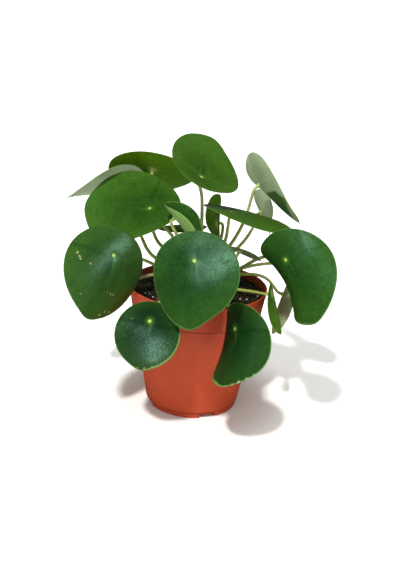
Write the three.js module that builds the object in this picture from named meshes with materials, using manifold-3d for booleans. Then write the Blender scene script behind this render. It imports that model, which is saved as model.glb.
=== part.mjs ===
// A potted Chinese money plant (Pilea peperomioides) in a 12 cm nursery pot.
// Millimetres, +Z up. The origin is the centre of the pot's foot, on the surface it stands on.
// The front of the plant faces -Y and its right side is +X.
import * as THREE from "three";
import Module from "manifold-3d";
import { mergeVertices } from "three/addons/utils/BufferGeometryUtils.js";

// Driving dimensions of the pot
const POT_HEIGHT = 109.5;
const RIM_RADIUS = 60;
const FOOT_RADIUS = 40.5;
const WALL = 1.3;
const COLLAR_HEIGHT = 23;
const COLLAR_STEP = 0.9;
const LIP_HEIGHT = 1.6;
const FOOT_HEIGHT = 4.5;
const FOOT_STEP = 0.7;
const FLOOR_THICKNESS = 1.5;
const POT_SIDES = 48;

// Notches in the foot and drain holes in the floor, which let the water out
const NOTCH_COUNT = 4;
const NOTCH_WIDTH = 15;
const NOTCH_HEIGHT = 3.6;
const NOTCH_FIRST_ANGLE = -68;
const DRAIN_COUNT = 8;
const DRAIN_RADIUS = 4;
const DRAIN_RING_RADIUS = 27;
const DRAIN_SIDES = 12;

// Soil
const SOIL_LEVEL = 102.5;
const SOIL_MOUND = 3.5;
const SOIL_LUMP = 0.9;
const SOIL_WAVES = { coarse: 0.31, fine: 0.64, fineShare: 0.6 };
const SOIL_SIDES = 40;
const SOIL_RINGS = 7;

// Main stem, and how a petiole leaves it
const STEM_PLACE = new THREE.Vector2(4, 1);
const STEM_RADIUS = 4.6;
const STEM_BURIED_TO = 84;
const STEM_TOP = 127;
const STEM_TIP_LENGTH = 9;
const STEM_SIDES = 12;

// Petioles and blades
const PETIOLE_BASE_RADIUS = 1.7;
const PETIOLE_TIP_RADIUS = 1.3;
const NECK_LENGTH = 4;
const PETIOLE_SIDES = 6;
const PETIOLE_STEPS = 14;
const BLADE_THICKNESS = 1.0;
const BLADE_RINGS = 4;
const BLADE_SECTORS = 24;
const ATTACH_SHARE = 0.31;
const TIP_POINT = 0.05;
const TIP_SPREAD = 0.22;

// Clearance between pieces that touch
const GAP = 0.3;

// Each leaf: spot is where its petiole meets the blade; length runs from base to tip; heading is the
// compass turn of the tip (0 is +X, 90 is +Y), droop tips the tip down and roll turns the blade
// about its length, all in degrees. fold is the direction of the fold's axis within the blade,
// measured from the tip; left, right and along are the curvatures across the fold on either side
// and along it, in radians a metre, positive where the edges bend down. flat is half the width of
// the strip beside the axis that stays straight; the strip widens by flare, per metre, away from the
// place waist on the axis. seat is the spot's share of the length, counted from the base, where it
// isn't the usual one. base is the height on the main stem where the petiole leaves it, and via lists
// points that the petiole passes through.
const LEAVES = [
  { name: "top", spot: [-3, -10, 206], length: 74, width: 65, heading: 85, droop: -14, roll: 26,
    fold: 38, left: -10, right: -2, along: -12, base: 124, via: [[0, -3, 155], [-2, -5, 190]] },
  { name: "back_left_high", spot: [-48, 66, 193], length: 87, width: 84, heading: 92, droop: 43, roll: 6,
    fold: 34, left: -3, right: -10, along: -3, base: 123, via: [[-36, 28, 134], [-45, 40, 148]] },
  { name: "back_left", spot: [-78, 55, 184], length: 74, width: 75, heading: 164, droop: 31, roll: 24,
    fold: 66, left: -10, right: -6, along: 9, base: 117, via: [[-41, 15, 127], [-56, 34, 144]] },
  { name: "left_upper", spot: [-45, 4, 173], length: 84, width: 82, heading: 165, droop: 0, roll: -27,
    fold: 38, left: -5, right: -5, along: 9, base: 120, via: [[-28, 2, 154]] },
  { name: "left_lower", spot: [-68, -56, 149], length: 76, width: 77, heading: 254, droop: 52, roll: -52,
    fold: 60, left: 2, right: 3, along: 17, base: 112, via: [[-38, -8, 118], [-54, -18, 117]] },
  { name: "front", spot: [-4, -75, 155], length: 75, width: 74, heading: 279, droop: 62, roll: 22,
    fold: 25, left: -4, right: 14, along: -10, base: 118, via: [[0, -36, 140]] },
  { name: "front_left_low", spot: [-36, -78, 104], length: 55, width: 54, heading: 253, droop: 52, roll: -2,
    fold: -4, left: 8, right: 4, along: 14, base: 109, via: [[-16, -28, 114], [-29, -54, 113]] },
  { name: "front_right_low", spot: [31, -80, 103], length: 66, width: 65, heading: 272, droop: 59, roll: 58,
    fold: 84, left: -10, right: -10, along: 27, base: 109, via: [[14, -28, 112], [25, -54, 113]] },
  { name: "right", spot: [68.2, -49.5, 152.4], length: 77.2, width: 76.2, heading: 319, droop: 53, roll: 89,
    fold: 7, left: 18, right: 42, along: 0, flare: 10, waist: 10,
    base: 116, via: [[30, 3, 122], [50, -3, 137], [63, -20, 146]] },
  { name: "right_high", spot: [48, 30, 194], length: 77, width: 75, heading: -60, droop: 20, roll: -54,
    fold: 79, left: 63, right: -6, along: -14, flat: 16,
    base: 124, via: [[25, 12, 142], [37, 28, 162]] },
  { name: "right_back", spot: [55, 79, 156.5], length: 46.5, width: 44.5, heading: 101, droop: 191, roll: 112,
    fold: 140, left: 14, right: 21, along: -13, flat: 6,
    base: 120, via: [[33, 22, 138], [46, 52, 148]] },
  { name: "right_flat", spot: [23, -11, 179], length: 74, width: 71, heading: 3, droop: 10, roll: -8,
    fold: 30, left: 0, right: 7, along: 1, base: 120, via: [[20, -7, 151]] },
  { name: "middle_upright", spot: [13, 33, 155], length: 40, width: 39, heading: 107, droop: -45, roll: -92,
    fold: 57, left: 15, right: 10, along: -17, base: 126, via: [[14, 19, 136], [17.5, 27.5, 143.5]] },
  { name: "middle_folded", spot: [-22, -20, 173], length: 48, width: 46, heading: -8, droop: 48, roll: -5,
    fold: 0, left: -56, right: -48, along: 4, base: 119, via: [[-19, -16, 155]] },
  { name: "middle_small", spot: [32, -22, 149], length: 28, width: 27, heading: 2, droop: 21, roll: -23,
    fold: 18, left: -3, right: -5, along: 4, base: 114, via: [[24, -15, 137]] },
  { name: "rim_right", spot: [62, -22, 113], length: 44, width: 40, heading: -10, droop: 76, roll: 0,
    fold: 0, left: 8, right: 12, along: -4, seat: 0.2,
    base: 109, via: [[24, -4, 108.5], [46, -12, 109.8]] },
  { name: "right_behind", spot: [77, 20, 97], length: 51, width: 45, heading: 32, droop: 111, roll: 28,
    fold: 91, left: 0, right: -5, along: -25, base: 112, via: [[38, 8, 118], [58, 15, 114]] },
  { name: "middle_shaded", spot: [-16, 30, 150], length: 50, width: 44, heading: 100, droop: 6, roll: -4,
    fold: 0, left: 4, right: 4, along: 6, base: 115, via: [[-8, 18, 138]] },
  { name: "back_left_low", spot: [-84, 28, 124], length: 64, width: 62, heading: 178, droop: 48, roll: 8,
    fold: 0, left: 5, right: 6, along: 10, base: 109, via: [[-24, 9, 114], [-52, 20, 122]] },
  { name: "back_right_low", spot: [88, 36, 124], length: 58, width: 56, heading: 12, droop: 20, roll: 4,
    fold: 0, left: 6, right: 6, along: 8, base: 109, via: [[38, 22, 119], [66, 32, 122]] },
  { name: "back_hanging_left", spot: [-38, 86, 84], length: 56, width: 52, heading: 112, droop: 62, roll: 2,
    fold: 0, left: 6, right: 6, along: 9, base: 109, via: [[-14, 32, 115], [-26, 58, 114]] },
  { name: "back_hanging_right", spot: [32, 88, 82], length: 60, width: 57, heading: 76, droop: 60, roll: -4,
    fold: 0, left: 6, right: 6, along: 8, base: 109, via: [[14, 32, 115], [22, 58, 114]] },
  { name: "back_middle", spot: [-2, 84, 121], length: 62, width: 60, heading: 92, droop: 40, roll: 3,
    fold: 0, left: 4, right: 5, along: 7, base: 112, via: [[-1, 34, 124], [-2, 62, 123]] },
];

const LEAF_GREEN = 0x2f6b22;
const PETIOLE_GREEN = 0x8c9a45;

function material(colour, roughness) {
  return new THREE.MeshStandardMaterial({ color: colour, roughness, metalness: 0 });
}

function named(name, geometry, colour, roughness) {
  const mesh = new THREE.Mesh(geometry, material(colour, roughness));
  mesh.name = name;
  return mesh;
}

const wasm = await Module();
wasm.setup();

function solidOf(geometry) {
  const bare = geometry.clone();
  bare.deleteAttribute("normal");
  bare.deleteAttribute("uv");
  const merged = mergeVertices(bare, 1e-4);
  return new wasm.Manifold(
    new wasm.Mesh({
      numProp: 3,
      vertProperties: merged.attributes.position.array,
      triVerts: new Uint32Array(merged.index.array),
    }),
  );
}

function geometryOf(solid) {
  const mesh = solid.getMesh();
  return new THREE.BufferGeometry()
    .setAttribute("position", new THREE.BufferAttribute(mesh.vertProperties, 3))
    .setIndex(new THREE.BufferAttribute(mesh.triVerts, 1));
}

// A profile of [radius, height] pairs turned about the Z axis.
function turned(profile, sides) {
  const points = profile.map(([radius, height]) => new THREE.Vector2(radius, height));
  return new THREE.LatheGeometry(points, sides).rotateX(Math.PI / 2);
}

// The outer radius of the pot's body at a height: it tapers from the collar down to the foot.
const COLLAR_LOW = POT_HEIGHT - COLLAR_HEIGHT;
const TAPER = (RIM_RADIUS - COLLAR_STEP - FOOT_RADIUS) / POT_HEIGHT;

function bodyRadius(height) {
  return FOOT_RADIUS + TAPER * height;
}

function makePot() {
  const shell = solidOf(
    turned(
      [
        [0, FOOT_HEIGHT - FLOOR_THICKNESS],
        [bodyRadius(0) - FOOT_STEP - WALL, FOOT_HEIGHT - FLOOR_THICKNESS],
        [bodyRadius(0) - FOOT_STEP - WALL, 0],
        [bodyRadius(0) - FOOT_STEP, 0],
        [bodyRadius(FOOT_HEIGHT) - FOOT_STEP, FOOT_HEIGHT],
        [bodyRadius(FOOT_HEIGHT + FOOT_STEP), FOOT_HEIGHT + FOOT_STEP],
        [bodyRadius(COLLAR_LOW), COLLAR_LOW],
        [bodyRadius(COLLAR_LOW) + COLLAR_STEP, COLLAR_LOW + COLLAR_STEP / 2],
        [RIM_RADIUS - LIP_HEIGHT / 4, POT_HEIGHT - LIP_HEIGHT],
        [RIM_RADIUS, POT_HEIGHT - LIP_HEIGHT / 2],
        [RIM_RADIUS - LIP_HEIGHT / 4, POT_HEIGHT],
        [RIM_RADIUS - WALL, POT_HEIGHT],
        [bodyRadius(COLLAR_LOW) - WALL + COLLAR_STEP / 2, COLLAR_LOW + COLLAR_STEP],
        [bodyRadius(COLLAR_LOW) - WALL, COLLAR_LOW - COLLAR_STEP],
        [bodyRadius(FOOT_HEIGHT) - WALL, FOOT_HEIGHT],
        [0, FOOT_HEIGHT],
      ],
      POT_SIDES,
    ),
  );
  const cutters = [];
  const notchDepth = 8 * WALL;
  for (let i = 0; i < NOTCH_COUNT; i++) {
    const turn = THREE.MathUtils.degToRad(NOTCH_FIRST_ANGLE + (i * 360) / NOTCH_COUNT);
    const box = new THREE.BoxGeometry(notchDepth, NOTCH_WIDTH, 2 * NOTCH_HEIGHT);
    cutters.push(solidOf(box.translate(bodyRadius(0) - WALL, 0, 0).rotateZ(turn)));
  }
  const drainLength = 4 * FLOOR_THICKNESS;
  for (let i = 0; i < DRAIN_COUNT; i++) {
    const turn = (i * 2 * Math.PI) / DRAIN_COUNT;
    const hole = new THREE.CylinderGeometry(DRAIN_RADIUS, DRAIN_RADIUS, drainLength, DRAIN_SIDES);
    hole.rotateX(Math.PI / 2).translate(DRAIN_RING_RADIUS, 0, FOOT_HEIGHT).rotateZ(turn);
    cutters.push(solidOf(hole));
  }
  const pot = cutters.reduce((body, cutter) => body.subtract(cutter), shell);
  return named("pot", geometryOf(pot), 0xb2492b, 0.55);
}

// The soil's height at a point: a low mound with lumps.
function soilHeight(x, y) {
  const share = Math.hypot(x, y) / RIM_RADIUS;
  const { coarse, fine, fineShare } = SOIL_WAVES;
  const wide = Math.sin(coarse * x + 1) * Math.cos(coarse * y);
  const narrow = fineShare * Math.sin(fine * (x - y));
  return SOIL_LEVEL + SOIL_MOUND * (1 - share * share) + SOIL_LUMP * (wide + narrow);
}

function makeSoil() {
  const low = FOOT_HEIGHT + GAP;
  const edge = bodyRadius(SOIL_LEVEL) - WALL - GAP;
  const hole = STEM_RADIUS + GAP;
  const profile = [
    [0, low],
    [bodyRadius(low) - WALL - GAP, low],
    [bodyRadius(COLLAR_LOW - COLLAR_STEP) - WALL - GAP, COLLAR_LOW - COLLAR_STEP],
  ];
  for (let i = 0; i <= SOIL_RINGS; i++) profile.push([edge + ((hole - edge) * i) / SOIL_RINGS, SOIL_LEVEL]);
  profile.push([hole, STEM_BURIED_TO - GAP], [0, STEM_BURIED_TO - GAP]);
  const soil = turned(profile, SOIL_SIDES);
  const place = soil.attributes.position;
  for (let i = 0; i < place.count; i++) {
    const radius = Math.hypot(place.getX(i), place.getY(i));
    // The hole in the middle follows the stem, which stands a little off the pot's axis.
    const aboveHoleFloor = place.getZ(i) > STEM_BURIED_TO - 2 * GAP;
    const inward = THREE.MathUtils.clamp((edge - radius) / (edge - hole), 0, 1);
    const inner = aboveHoleFloor ? inward : 0;
    place.setX(i, place.getX(i) + STEM_PLACE.x * inner);
    place.setY(i, place.getY(i) + STEM_PLACE.y * inner);
    if (place.getZ(i) >= SOIL_LEVEL - 1e-6) place.setZ(i, soilHeight(place.getX(i), place.getY(i)));
  }
  return named("soil", soil, 0x1d1512, 1);
}

function makeMainStem() {
  const stem = turned(
    [
      [0, STEM_BURIED_TO],
      [STEM_RADIUS * 0.9, STEM_BURIED_TO],
      [STEM_RADIUS, SOIL_LEVEL],
      [STEM_RADIUS, STEM_TOP - STEM_TIP_LENGTH],
      [STEM_RADIUS * 0.8, STEM_TOP - STEM_TIP_LENGTH * 0.45],
      [STEM_RADIUS * 0.4, STEM_TOP - STEM_TIP_LENGTH * 0.1],
      [0, STEM_TOP],
    ],
    STEM_SIDES,
  );
  stem.translate(STEM_PLACE.x, STEM_PLACE.y, 0);
  return named("main_stem", stem, 0x6b5a35, 0.8);
}

// Distance from the petiole's seat to the margin in the direction turned from the tip: an oval with
// the seat off its middle, drawn out a little at the tip.
function marginRadius(leaf, turn) {
  const a = leaf.length / 2;
  const b = leaf.width / 2;
  const c = a - (leaf.seat ?? ATTACH_SHARE) * leaf.length;
  const cos = Math.cos(turn);
  const sin = Math.sin(turn);
  const p = (cos / a) ** 2 + (sin / b) ** 2;
  const q = (-2 * c * cos) / a ** 2;
  const s = (c / a) ** 2 - 1;
  const oval = (-q + Math.sqrt(q * q - 4 * p * s)) / (2 * p);
  const fromTip = Math.atan2(sin, cos);
  return oval * (1 + TIP_POINT * Math.exp(-((fromTip / TIP_SPREAD) ** 2)));
}

// A point of the blade's middle surface. The flat blade is bent round an axis through the seat,
// with its own curvature on either side, and then along that axis.
function bladePoint(leaf, share, turn) {
  const radius = share * marginRadius(leaf, turn);
  const x = radius * Math.cos(turn);
  const y = radius * Math.sin(turn);
  const fold = THREE.MathUtils.degToRad(leaf.fold);
  const s = x * Math.cos(fold) + y * Math.sin(fold);
  const t = -x * Math.sin(fold) + y * Math.cos(fold);
  const across = (t > 0 ? leaf.left : leaf.right) / 1000 || 1e-6;
  const along = leaf.along / 1000 || 1e-6;
  const strip = (leaf.flat ?? 0) + ((leaf.flare ?? 0) / 1000) * (s - (leaf.waist ?? 0)) ** 2;
  const level = Math.min(Math.abs(t), strip);
  const bent = Math.abs(t) - level;
  const t1 = Math.sign(t) * (level + Math.sin(across * bent) / across);
  const z1 = -(1 - Math.cos(across * bent)) / across;
  const s2 = (1 / along + z1) * Math.sin(along * s);
  const z2 = (1 / along + z1) * Math.cos(along * s) - 1 / along;
  return new THREE.Vector3(
    s2 * Math.cos(fold) - t1 * Math.sin(fold),
    s2 * Math.sin(fold) + t1 * Math.cos(fold),
    z2,
  );
}

// The blade's upward normal, from two short steps on its surface.
function bladeNormal(leaf, share, turn) {
  const step = 1e-3;
  const at = bladePoint(leaf, share, turn);
  if (share < step) {
    const ahead = bladePoint(leaf, step, 0).sub(at);
    const aside = bladePoint(leaf, step, Math.PI / 2).sub(at);
    return ahead.cross(aside).normalize();
  }
  const out = bladePoint(leaf, share + step, turn).sub(at);
  const round = bladePoint(leaf, share, turn + step).sub(at);
  return out.cross(round).normalize();
}

// Two polar sheets, the blade's upper and lower face, joined at the margin. Both faces are split
// into triangles alike.
function bladeGeometry(leaf, rings, sectors) {
  const points = [];
  for (const side of [1, -1]) {
    for (let i = 0; i <= rings; i++) {
      for (let j = 0; j < (i ? sectors : 1); j++) {
        const turn = (j * 2 * Math.PI) / sectors;
        const point = bladePoint(leaf, i / rings, turn);
        const normal = bladeNormal(leaf, i / rings, turn);
        points.push(...point.addScaledVector(normal, (side * BLADE_THICKNESS) / 2).toArray());
      }
    }
  }
  const perSide = 1 + rings * sectors;
  const at = (side, i, j) => side * perSide + (i ? 1 + (i - 1) * sectors + (j % sectors) : 0);
  const faces = [];
  for (let j = 0; j < sectors; j++) {
    for (const side of [0, 1]) {
      const add = (a, b, c) => (side ? faces.push(a, c, b) : faces.push(a, b, c));
      add(at(side, 0, 0), at(side, 1, j), at(side, 1, j + 1));
      for (let i = 1; i < rings; i++) {
        add(at(side, i, j), at(side, i + 1, j), at(side, i + 1, j + 1));
        add(at(side, i, j), at(side, i + 1, j + 1), at(side, i, j + 1));
      }
    }
    faces.push(at(0, rings, j), at(1, rings, j), at(1, rings, j + 1));
    faces.push(at(0, rings, j), at(1, rings, j + 1), at(0, rings, j + 1));
  }
  return new THREE.BufferGeometry()
    .setAttribute("position", new THREE.Float32BufferAttribute(points, 3))
    .setIndex(faces);
}

function leafTurn(leaf) {
  const [roll, droop, heading] = [leaf.roll, leaf.droop, leaf.heading].map(THREE.MathUtils.degToRad);
  return new THREE.Euler(roll, droop, heading, "ZYX");
}

// The petiole's route: straight out of the stem, through its own points, and squarely into the
// blade's underside.
function petioleRoute(leaf) {
  const spot = new THREE.Vector3(...leaf.spot);
  const normal = new THREE.Vector3(0, 0, 1).applyEuler(leafTurn(leaf));
  const tip = spot.clone().addScaledVector(normal, -(BLADE_THICKNESS / 2 + GAP));
  const neck = tip.clone().addScaledVector(normal, -NECK_LENGTH);
  const via = leaf.via.map((point) => new THREE.Vector3(...point));
  const outward = new THREE.Vector3(via[0].x - STEM_PLACE.x, via[0].y - STEM_PLACE.y, 0).normalize();
  const stem = new THREE.Vector3(STEM_PLACE.x, STEM_PLACE.y, leaf.base);
  const base = stem.addScaledVector(outward, STEM_RADIUS + GAP);
  const curve = new THREE.CatmullRomCurve3([base, ...via, neck, tip], false, "centripetal");
  return { curve, outward, normal };
}

// A tapered rod whose length follows a curve, from CylinderGeometry. Its two end faces look along
// the given directions.
function bentRod(curve, firstDirection, lastDirection) {
  const rod = new THREE.CylinderGeometry(
    PETIOLE_TIP_RADIUS, PETIOLE_BASE_RADIUS, 1, PETIOLE_SIDES, PETIOLE_STEPS);
  const frames = [];
  let side = new THREE.Vector3(-firstDirection.y, firstDirection.x, 0);
  for (let step = 0; step <= PETIOLE_STEPS; step++) {
    const inner = curve.getTangentAt(step / PETIOLE_STEPS);
    const ahead = step === 0 ? firstDirection : step === PETIOLE_STEPS ? lastDirection : inner;
    side = side.clone().addScaledVector(ahead, -side.dot(ahead)).normalize();
    frames.push({ at: curve.getPointAt(step / PETIOLE_STEPS), side, up: ahead.clone().cross(side) });
  }
  const place = rod.attributes.position;
  for (let i = 0; i < place.count; i++) {
    const { at, side, up } = frames[Math.round((place.getY(i) + 0.5) * PETIOLE_STEPS)];
    const point = at.clone().addScaledVector(side, place.getX(i)).addScaledVector(up, -place.getZ(i));
    place.setXYZ(i, point.x, point.y, point.z);
  }
  return rod;
}

const plant = new THREE.Group();
plant.add(makePot(), makeSoil(), makeMainStem());
for (const leaf of LEAVES) {
  const sheet = bladeGeometry(leaf, BLADE_RINGS, BLADE_SECTORS);
  const blade = named(`leaf_${leaf.name}`, sheet, LEAF_GREEN, 0.4);
  blade.position.set(...leaf.spot);
  blade.rotation.copy(leafTurn(leaf));
  const { curve, outward, normal } = petioleRoute(leaf);
  plant.add(blade, named(`petiole_${leaf.name}`, bentRod(curve, outward, normal), PETIOLE_GREEN, 0.5));
}

export default plant;
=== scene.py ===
# %% [markdown]
# # A potted Chinese money plant
#
# This lesson dresses a imported model of a small house plant: 23 round leaves, each on its own long
# petiole, a short stem in dark soil, and a terracotta-coloured nursery pot. The imported model gives
# every piece its place and its outer form. What it lacks is what the eye enjoys: thin rounded margins,
# veins, wax gloss, crumbs of soil and the soft sheen of moulded plastic. We load it first.

import math
from types import SimpleNamespace

import bmesh
import bpy
from mathutils import Euler, Matrix, Vector


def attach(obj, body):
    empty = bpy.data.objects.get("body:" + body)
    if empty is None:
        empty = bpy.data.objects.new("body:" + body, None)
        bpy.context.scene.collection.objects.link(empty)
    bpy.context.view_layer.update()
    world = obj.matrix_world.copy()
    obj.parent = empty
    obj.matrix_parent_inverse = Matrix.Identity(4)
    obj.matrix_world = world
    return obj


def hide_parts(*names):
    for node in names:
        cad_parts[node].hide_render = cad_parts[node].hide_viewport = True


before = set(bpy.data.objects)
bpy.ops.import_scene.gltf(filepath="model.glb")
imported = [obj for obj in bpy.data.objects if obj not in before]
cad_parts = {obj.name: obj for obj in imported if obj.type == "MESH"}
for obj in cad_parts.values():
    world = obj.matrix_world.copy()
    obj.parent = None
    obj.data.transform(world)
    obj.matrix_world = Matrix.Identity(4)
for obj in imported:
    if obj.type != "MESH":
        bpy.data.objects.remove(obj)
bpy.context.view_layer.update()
MM = 0.001


def new_object(name, data):
    made = bpy.data.objects.new(name, data)
    bpy.context.scene.collection.objects.link(made)
    return made


# %% [markdown]
# ## The camera
#
# The photograph was taken from a little above the plant, from about 70 cm away. A perspective camera
# is described by its place, its two tilts and its lens. Its roll of a few degrees is what makes the pot
# lean in the picture, though it stands level.

# %% Place the camera
CAMERA_PLACE = Vector((1.5, -700, 362)) * MM
CAMERA_DOWN = math.radians(19.91)
CAMERA_ROLL = math.radians(3.68)
# The distance from the lens to the picture, in the photograph's own pixels
LENS_PIXELS = 859
PHOTO_HEIGHT = 570
SENSOR = 36

camera_data = bpy.data.cameras.new("camera")
camera_data.sensor_width = SENSOR
camera_data.lens = LENS_PIXELS / PHOTO_HEIGHT * SENSOR
camera = new_object("camera", camera_data)
level_view = Matrix.Rotation(math.pi / 2 - CAMERA_DOWN, 4, "X")
camera.matrix_world = Matrix.Translation(CAMERA_PLACE) @ level_view @ Matrix.Rotation(CAMERA_ROLL, 4, "Z")
bpy.context.scene.camera = camera
print("lens in mm:", round(camera_data.lens, 2))

# %% [markdown]
# ## Writing node trees as sums
#
# Both materials and Geometry Nodes are trees of small nodes, and adding each by hand makes long code.
# A small class wraps an output socket and gives it Python's operators, so that 1 - mask * 0.5 adds its
# Math nodes by itself. Everything else comes from one method, which takes a node's type, its settings
# and what goes into its sockets. We name a socket, or count it among those that are in use.

# %% Wrap sockets and trees
def operator(operation, swapped=False):
    """A method that adds a Math node for the wire and another term, swapped where it is reflected."""
    def method(wire, other):
        terms = (other, wire) if swapped else (wire, other)
        return wire.maths(operation, *terms)
    return method


class Wire:
    """An output socket of a node tree that Python's operators compute with."""

    def __init__(self, bench, socket):
        self.bench, self.socket = bench, socket

    def maths(self, operation, *terms):
        return self.bench.node("ShaderNodeMath", {"operation": operation}, terms)

    __add__, __radd__ = operator("ADD"), operator("ADD", swapped=True)
    __sub__, __rsub__ = operator("SUBTRACT"), operator("SUBTRACT", swapped=True)
    __mul__, __rmul__ = operator("MULTIPLY"), operator("MULTIPLY", swapped=True)
    __truediv__, __rtruediv__ = operator("DIVIDE"), operator("DIVIDE", swapped=True)
    __pow__, __gt__, __lt__ = operator("POWER"), operator("GREATER_THAN"), operator("LESS_THAN")

    def __neg__(self):
        return self * -1

    def sin(self):
        return self.maths("SINE", self)

    def cos(self):
        return self.maths("COSINE", self)

    def __getattr__(self, name):
        """Any other Math operation as a method, such as sqrt, absolute or minimum."""
        if name.startswith("_"):
            raise AttributeError(name)
        return lambda *terms: self.maths(name.upper(), self, *terms)

    def smooth(self, start, end):
        """0 before start, 1 after end, and a soft step between them."""
        settings = {"interpolation_type": "SMOOTHSTEP"}
        sockets = {"Value": self, "From Min": start, "From Max": end, "To Min": 0.0, "To Max": 1.0}
        return self.bench.node("ShaderNodeMapRange", settings, sockets)


class Bench:
    """A node tree under construction."""

    def __init__(self, tree):
        self.tree = tree

    def node(self, kind, settings=None, sockets=(), out=0):
        made = self.tree.nodes.new(kind)
        for name, value in (settings or {}).items():
            setattr(made, name, value)
        pairs = sockets.items() if isinstance(sockets, dict) else enumerate(sockets)
        for key, value in pairs:
            socket = self.find(made.inputs, key)
            if isinstance(value, Wire):
                self.tree.links.new(value.socket, socket)
            else:
                socket.default_value = value
        return Wire(self, self.find(made.outputs, out)) if made.outputs else None

    def find(self, sockets, key):
        in_use = [socket for socket in sockets if socket.enabled]
        return in_use[key] if isinstance(key, int) else next(s for s in in_use if s.name == key)

    def outputs(self, wire):
        """Every output in use of the node that a wire comes from."""
        return [Wire(self, socket) for socket in wire.socket.node.outputs if socket.enabled]

    def vector(self, x, y, z):
        return self.node("ShaderNodeCombineXYZ", {}, (x, y, z))

    def parts(self, vector):
        """The x, y and z of a vector."""
        return self.outputs(self.node("ShaderNodeSeparateXYZ", {}, (vector,)))

    def move(self, operation, *terms, out=0):
        """Vector maths, such as ADD or SCALE."""
        return self.node("ShaderNodeVectorMath", {"operation": operation}, terms, out)


# %% [markdown]
# ## Geometry trees
#
# What repeats or follows a rule is made by Geometry Nodes: the leaf blades, the petioles, the drain
# holes, the crumbs of soil. A tree has named inputs for its sizes, and a carrier object runs it through
# a modifier. The result is then turned into a plain mesh.

# %% Helpers for geometry trees
SOCKET_KINDS = {float: "NodeSocketFloat", int: "NodeSocketInt", bpy.types.Material: "NodeSocketMaterial"}


def geometry_bench(name, inputs):
    """A new geometry tree with these named inputs, its bench, and a wire for each input."""
    tree = bpy.data.node_groups.new(name, "GeometryNodeTree")
    tree.interface.new_socket("Geometry", in_out="INPUT", socket_type="NodeSocketGeometry")
    tree.interface.new_socket("Geometry", in_out="OUTPUT", socket_type="NodeSocketGeometry")
    for socket_name, kind in inputs.items():
        tree.interface.new_socket(socket_name, in_out="INPUT", socket_type=SOCKET_KINDS[kind])
    bench = Bench(tree)
    first = bench.node("NodeGroupInput")
    wires = {wire.socket.name: wire for wire in bench.outputs(first) if wire.socket.name}
    return bench, wires


def store(bench, geometry, name, value, kind="FLOAT_VECTOR", domain="POINT"):
    """Keeps a value on the geometry as a named attribute."""
    return bench.node("GeometryNodeStoreNamedAttribute", {"data_type": kind, "domain": domain},
                      {"Geometry": geometry, "Name": name, "Value": value})


def stored(bench, name, kind="FLOAT_VECTOR"):
    return bench.node("GeometryNodeInputNamedAttribute", {"data_type": kind}, {"Name": name})


def joined(bench, first, second):
    """Two geometries as one. The socket takes many links, so the second is linked by hand."""
    both = bench.node("GeometryNodeJoinGeometry", {}, (first,))
    bench.tree.links.new(second.socket, both.socket.node.inputs[0])
    return both


def close_tree(bench, geometry, material):
    """Ends a tree with real geometry and one material."""
    real = bench.node("GeometryNodeRealizeInstances", {}, {"Geometry": geometry})
    dressed = bench.node("GeometryNodeSetMaterial", {}, {"Geometry": real, "Material": material})
    bench.node("NodeGroupOutput", {}, {"Geometry": dressed})


def grow(name, bench, values, base=None):
    """Runs a geometry tree with its inputs set and returns the result as a plain mesh object."""
    carrier = new_object(name, base or bpy.data.meshes.new(name))
    modifier = carrier.modifiers.new("grow", "NODES")
    modifier.node_group = bench.tree
    for item in bench.tree.interface.items_tree:
        if item.in_out == "INPUT" and item.name in values:
            modifier[item.identifier] = values[item.name]
    graph = bpy.context.evaluated_depsgraph_get()
    mesh = bpy.data.meshes.new_from_object(carrier.evaluated_get(graph))
    carrier.modifiers.clear()
    carrier.data = mesh
    mesh.name = name
    return carrier


def settle(piece, node_names):
    """Attaches a finished piece to the root, hides the imported parts it replaces and prints its triangles.
    """
    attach(piece, "root")
    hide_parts(*node_names)
    triangles = sum(len(face.vertices) - 2 for face in piece.data.polygons)
    print(f"{piece.name}: {triangles} triangles")


# %% [markdown]
# ## Leaf materials
#
# The upper face of a leaf is deep green and waxy, with a pale spot where the petiole meets it. A short
# groove runs from the spot towards the tip, the skin is pebbled and finely wrinkled, and the veins are
# so faint that only a raking light shows them. The underside is matt and grey-green. All this follows
# the leaf, not the room, so each blade carries three attributes. One holds its own flat coordinates: x
# towards the tip, y across, and the share of the way to the margin. The second holds its tone from dark
# to fresh, a seed for its clouds, and the width of its pale margin. The third says where the wax is
# whole. Then one recipe serves every leaf. The wax itself could be a lower roughness, but that turns a
# dark green grey wherever the surroundings are white. A clear coat whose weight varies keeps the green
# and puts the sheen only where the wax is.

# %% Colour helper and the material recipe's common parts
def colour(hex_code):
    """A colour as seen on screen, in the linear values that shaders use."""
    parts = [int(hex_code[i:i + 2], 16) / 255 for i in (0, 2, 4)]
    return tuple(p / 12.92 if p <= 0.04045 else ((p + 0.055) / 1.055) ** 2.4 for p in parts) + (1.0,)


def new_material(name, **constants):
    """A material, its bench and its shader, with the constants set on the shader's own sockets."""
    made = bpy.data.materials.new(name)
    made.use_nodes = True
    bench = Bench(made.node_tree)
    shader = made.node_tree.nodes["Principled BSDF"]
    for socket, value in constants.items():
        shader.inputs[socket.replace("_", " ")].default_value = value
    return made, bench, shader


def plug(bench, shader, socket, wire):
    bench.tree.links.new(wire.socket, shader.inputs[socket])


def blend(bench, mask, first, second):
    """Mixes two colours by a mask. A colour is a wire or a hex code."""
    first, second = (colour(one) if isinstance(one, str) else one for one in (first, second))
    return bench.node("ShaderNodeMix", {"data_type": "RGBA"}, (mask, first, second))


def layered(bench, base, *layers):
    """Lays colours over a base, the first one lowest. Each layer is a mask and a hex code."""
    for mask, hex_code in layers:
        base = blend(bench, mask, base, hex_code)
    return base


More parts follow.
